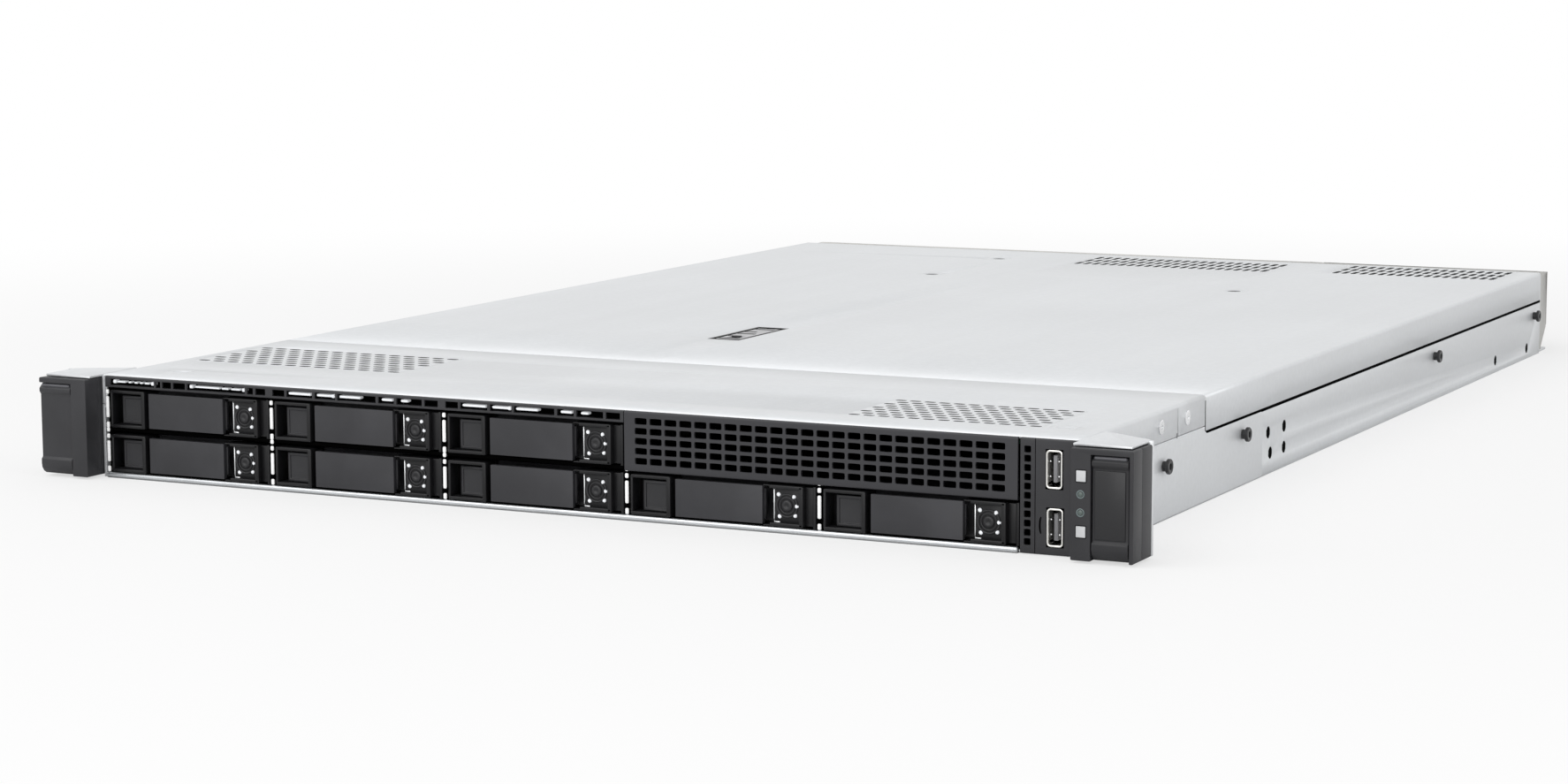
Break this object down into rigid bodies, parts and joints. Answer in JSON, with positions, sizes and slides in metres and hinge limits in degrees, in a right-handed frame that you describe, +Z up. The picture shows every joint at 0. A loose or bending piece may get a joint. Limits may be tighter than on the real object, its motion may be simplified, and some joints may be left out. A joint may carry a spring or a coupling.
{
  "type": "1u rack server",
  "caption": "One-unit rack server: sliding top cover, front drive bays with hot-swap carriers, perforated bay panel, rack ears with release levers, fans, board and rear power supplies.",
  "frame": {"origin": "under the middle of the bounding box, on the underside of the chassis", "axes": "+X to the right as seen from the front, +Y from the front to the back, +Z up"},
  "size_m": [0.4826, 0.7076, 0.0429],
  "materials": {
    "zinc_steel": "satin zinc-coated sheet",
    "black_plastic": "fine-textured satin moulding",
    "latch_plastic": "satin moulding",
    "plug_chrome": "bright plated shell",
    "black_steel": "black plated steel",
    "screw_zinc": "bright zinc",
    "fan_plastic": "glass-filled moulding",
    "board_green": "solder mask",
    "fin_aluminium": "extruded fins",
    "baffle_plastic": "thin moulding",
    "rear_beige": "warm grey sheet",
    "supply_case": "sheet case",
    "release_red": "touch-point moulding",
    "key_grey": "light grey key"
  },
  "bodies": {
    "chassis": {"chassis_tray": "zinc_steel", "front_cover": "zinc_steel", "bay_bezel": "black_plastic", "media_bay_panel": "black_plastic", "port_panel": "black_plastic", "usb_ports": "plug_chrome", "drive_cage": "zinc_steel", "drive_backplane": "board_green", "right_ear": "black_plastic", "left_ear": "black_plastic", "ear_plates": "zinc_steel", "rail_spools": "black_steel", "cover_screws": "screw_zinc", "fan_frames": "fan_plastic", "system_board": "board_green", "heatsink": "fin_aluminium", "memory_modules": "board_green", "air_baffle": "baffle_plastic", "riser_cage": "zinc_steel", "rear_panel": "rear_beige"},
    "main_cover": {"main_cover": "zinc_steel", "cover_latch_frame": "black_plastic"},
    "cover_latch": {"cover_latch_lever": "latch_plastic"},
    "right_ear_lever": {"right_ear_lever": "black_plastic"},
    "left_ear_lever": {"left_ear_lever": "black_plastic"},
    "power_button": {"power_button": "key_grey"},
    "identify_button": {"identify_button": "key_grey"},
    "drive_carrier_1": {"drive_carrier_1": "black_plastic"},
    "drive_handle_1": {"drive_handle_1": "black_plastic"},
    "drive_button_1": {"drive_button_1": "black_plastic"},
    "drive_carrier_2": {"drive_carrier_2": "black_plastic"},
    "drive_handle_2": {"drive_handle_2": "black_plastic"},
    "drive_button_2": {"drive_button_2": "black_plastic"},
    "drive_carrier_3": {"drive_carrier_3": "black_plastic"},
    "drive_handle_3": {"drive_handle_3": "black_plastic"},
    "drive_button_3": {"drive_button_3": "black_plastic"},
    "drive_carrier_4": {"drive_carrier_4": "black_plastic"},
    "drive_handle_4": {"drive_handle_4": "black_plastic"},
    "drive_button_4": {"drive_button_4": "black_plastic"},
    "drive_carrier_5": {"drive_carrier_5": "black_plastic"},
    "drive_handle_5": {"drive_handle_5": "black_plastic"},
    "drive_button_5": {"drive_button_5": "black_plastic"},
    "drive_carrier_6": {"drive_carrier_6": "black_plastic"},
    "drive_handle_6": {"drive_handle_6": "black_plastic"},
    "drive_button_6": {"drive_button_6": "black_plastic"},
    "drive_carrier_7": {"drive_carrier_7": "black_plastic"},
    "drive_handle_7": {"drive_handle_7": "black_plastic"},
    "drive_button_7": {"drive_button_7": "black_plastic"},
    "drive_carrier_8": {"drive_carrier_8": "black_plastic"},
    "drive_handle_8": {"drive_handle_8": "black_plastic"},
    "drive_button_8": {"drive_button_8": "black_plastic"},
    "fan_rotor_1": {"fan_rotor_1": "fan_plastic"},
    "fan_rotor_2": {"fan_rotor_2": "fan_plastic"},
    "fan_rotor_3": {"fan_rotor_3": "fan_plastic"},
    "fan_rotor_4": {"fan_rotor_4": "fan_plastic"},
    "fan_rotor_5": {"fan_rotor_5": "fan_plastic"},
    "power_supply_1": {"power_supply_1": "supply_case"},
    "power_supply_tab_1": {"power_supply_tab_1": "release_red"},
    "power_supply_2": {"power_supply_2": "supply_case"},
    "power_supply_tab_2": {"power_supply_tab_2": "release_red"}
  },
  "joints": [
    {"name": "cover_slide", "type": "slide", "parent": "chassis", "child": "main_cover", "axis": [0, 1, 0], "range_m": [0, 0.012]},
    {"name": "cover_latch_hinge", "type": "hinge", "parent": "main_cover", "child": "cover_latch", "pos_m": [-0.039, -0.0811, 0.0416], "axis": [-1, 0, 0], "range_deg": [0, 80]},
    {"name": "right_ear_lever_hinge", "type": "hinge", "parent": "chassis", "child": "right_ear_lever", "pos_m": [0.2325, -0.3491, 0.0054], "axis": [1, 0, 0], "range_deg": [0, 60], "stiffness_Nm_per_rad": 0.02, "springref_deg": -17.19},
    {"name": "left_ear_lever_hinge", "type": "hinge", "parent": "chassis", "child": "left_ear_lever", "pos_m": [-0.2325, -0.3491, 0.0054], "axis": [1, 0, 0], "range_deg": [0, 60], "stiffness_Nm_per_rad": 0.02, "springref_deg": -17.19},
    {"name": "power_button_press", "type": "slide", "parent": "chassis", "child": "power_button", "axis": [0, 1, 0], "range_m": [0, 0.0008], "stiffness_N_per_m": 300},
    {"name": "identify_button_press", "type": "slide", "parent": "chassis", "child": "identify_button", "axis": [0, 1, 0], "range_m": [0, 0.0008], "stiffness_N_per_m": 300},
    {"name": "drive_carrier_1_slide", "type": "slide", "parent": "chassis", "child": "drive_carrier_1", "axis": [0, -1, 0], "range_m": [0, 0.1]},
    {"name": "drive_handle_1_hinge", "type": "hinge", "parent": "drive_carrier_1", "child": "drive_handle_1", "pos_m": [-0.1571, -0.3405, 0.0289], "axis": [0, 0, 1], "range_deg": [0, 60]},
    {"name": "drive_button_1_press", "type": "slide", "parent": "drive_carrier_1", "child": "drive_button_1", "axis": [0, 1, 0], "range_m": [0, 0.001], "stiffness_N_per_m": 300},
    {"name": "drive_carrier_2_slide", "type": "slide", "parent": "chassis", "child": "drive_carrier_2", "axis": [0, -1, 0], "range_m": [0, 0.1]},
    {"name": "drive_handle_2_hinge", "type": "hinge", "parent": "drive_carrier_2", "child": "drive_handle_2", "pos_m": [-0.0752, -0.3405, 0.0289], "axis": [0, 0, 1], "range_deg": [0, 60]},
    {"name": "drive_button_2_press", "type": "slide", "parent": "drive_carrier_2", "child": "drive_button_2", "axis": [0, 1, 0], "range_m": [0, 0.001], "stiffness_N_per_m": 300},
    {"name": "drive_carrier_3_slide", "type": "slide", "parent": "chassis", "child": "drive_carrier_3", "axis": [0, -1, 0], "range_m": [0, 0.1]},
    {"name": "drive_handle_3_hinge", "type": "hinge", "parent": "drive_carrier_3", "child": "drive_handle_3", "pos_m": [0.0067, -0.3405, 0.0289], "axis": [0, 0, 1], "range_deg": [0, 60]},
    {"name": "drive_button_3_press", "type": "slide", "parent": "drive_carrier_3", "child": "drive_button_3", "axis": [0, 1, 0], "range_m": [0, 0.001], "stiffness_N_per_m": 300},
    {"name": "drive_carrier_4_slide", "type": "slide", "parent": "chassis", "child": "drive_carrier_4", "axis": [0, -1, 0], "range_m": [0, 0.1]},
    {"name": "drive_handle_4_hinge", "type": "hinge", "parent": "drive_carrier_4", "child": "drive_handle_4", "pos_m": [-0.1571, -0.3405, 0.0104], "axis": [0, 0, 1], "range_deg": [0, 60]},
    {"name": "drive_button_4_press", "type": "slide", "parent": "drive_carrier_4", "child": "drive_button_4", "axis": [0, 1, 0], "range_m": [0, 0.001], "stiffness_N_per_m": 300},
    {"name": "drive_carrier_5_slide", "type": "slide", "parent": "chassis", "child": "drive_carrier_5", "axis": [0, -1, 0], "range_m": [0, 0.1]},
    {"name": "drive_handle_5_hinge", "type": "hinge", "parent": "drive_carrier_5", "child": "drive_handle_5", "pos_m": [-0.0752, -0.3405, 0.0104], "axis": [0, 0, 1], "range_deg": [0, 60]},
    {"name": "drive_button_5_press", "type": "slide", "parent": "drive_carrier_5", "child": "drive_button_5", "axis": [0, 1, 0], "range_m": [0, 0.001], "stiffness_N_per_m": 300},
    {"name": "drive_carrier_6_slide", "type": "slide", "parent": "chassis", "child": "drive_carrier_6", "axis": [0, -1, 0], "range_m": [0, 0.1]},
    {"name": "drive_handle_6_hinge", "type": "hinge", "parent": "drive_carrier_6", "child": "drive_handle_6", "pos_m": [0.0067, -0.3405, 0.0104], "axis": [0, 0, 1], "range_deg": [0, 60]},
    {"name": "drive_button_6_press", "type": "slide", "parent": "drive_carrier_6", "child": "drive_button_6", "axis": [0, 1, 0], "range_m": [0, 0.001], "stiffness_N_per_m": 300},
    {"name": "drive_carrier_7_slide", "type": "slide", "parent": "chassis", "child": "drive_carrier_7", "axis": [0, -1, 0], "range_m": [0, 0.1]},
    {"name": "drive_handle_7_hinge", "type": "hinge", "parent": "drive_carrier_7", "child": "drive_handle_7", "pos_m": [0.0886, -0.3405, 0.0104], "axis": [0, 0, 1], "range_deg": [0, 60]},
    {"name": "drive_button_7_press", "type": "slide", "parent": "drive_carrier_7", "child": "drive_button_7", "axis": [0, 1, 0], "range_m": [0, 0.001], "stiffness_N_per_m": 300},
    {"name": "drive_carrier_8_slide", "type": "slide", "parent": "chassis", "child": "drive_carrier_8", "axis": [0, -1, 0], "range_m": [0, 0.1]},
    {"name": "drive_handle_8_hinge", "type": "hinge", "parent": "drive_carrier_8", "child": "drive_handle_8", "pos_m": [0.1705, -0.3405, 0.0104], "axis": [0, 0, 1], "range_deg": [0, 60]},
    {"name": "drive_button_8_press", "type": "slide", "parent": "drive_carrier_8", "child": "drive_button_8", "axis": [0, 1, 0], "range_m": [0, 0.001], "stiffness_N_per_m": 300},
    {"name": "fan_rotor_1_spin", "type": "hinge", "parent": "chassis", "child": "fan_rotor_1", "pos_m": [-0.061, -0.1822, 0.0217], "axis": [0, 1, 0], "continuous": true},
    {"name": "fan_rotor_2_spin", "type": "hinge", "parent": "chassis", "child": "fan_rotor_2", "pos_m": [0, -0.1822, 0.0217], "axis": [0, 1, 0], "continuous": true},
    {"name": "fan_rotor_3_spin", "type": "hinge", "parent": "chassis", "child": "fan_rotor_3", "pos_m": [0.061, -0.1822, 0.0217], "axis": [0, 1, 0], "continuous": true},
    {"name": "fan_rotor_4_spin", "type": "hinge", "parent": "chassis", "child": "fan_rotor_4", "pos_m": [0.122, -0.1822, 0.0217], "axis": [0, 1, 0], "continuous": true},
    {"name": "fan_rotor_5_spin", "type": "hinge", "parent": "chassis", "child": "fan_rotor_5", "pos_m": [0.183, -0.1822, 0.0217], "axis": [0, 1, 0], "continuous": true},
    {"name": "power_supply_1_slide", "type": "slide", "parent": "chassis", "child": "power_supply_1", "axis": [0, 1, 0], "range_m": [0, 0.16]},
    {"name": "power_supply_tab_1_press", "type": "slide", "parent": "power_supply_1", "child": "power_supply_tab_1", "axis": [-1, 0, 0], "range_m": [0, 0.002], "stiffness_N_per_m": 400},
    {"name": "power_supply_2_slide", "type": "slide", "parent": "chassis", "child": "power_supply_2", "axis": [0, 1, 0], "range_m": [0, 0.16]},
    {"name": "power_supply_tab_2_press", "type": "slide", "parent": "power_supply_2", "child": "power_supply_tab_2", "axis": [-1, 0, 0], "range_m": [0, 0.002], "stiffness_N_per_m": 400}
  ],
  "couplings": [
    {"joint": "cover_latch_hinge", "follows": "cover_slide", "rad_per_m": 105}
  ]
}
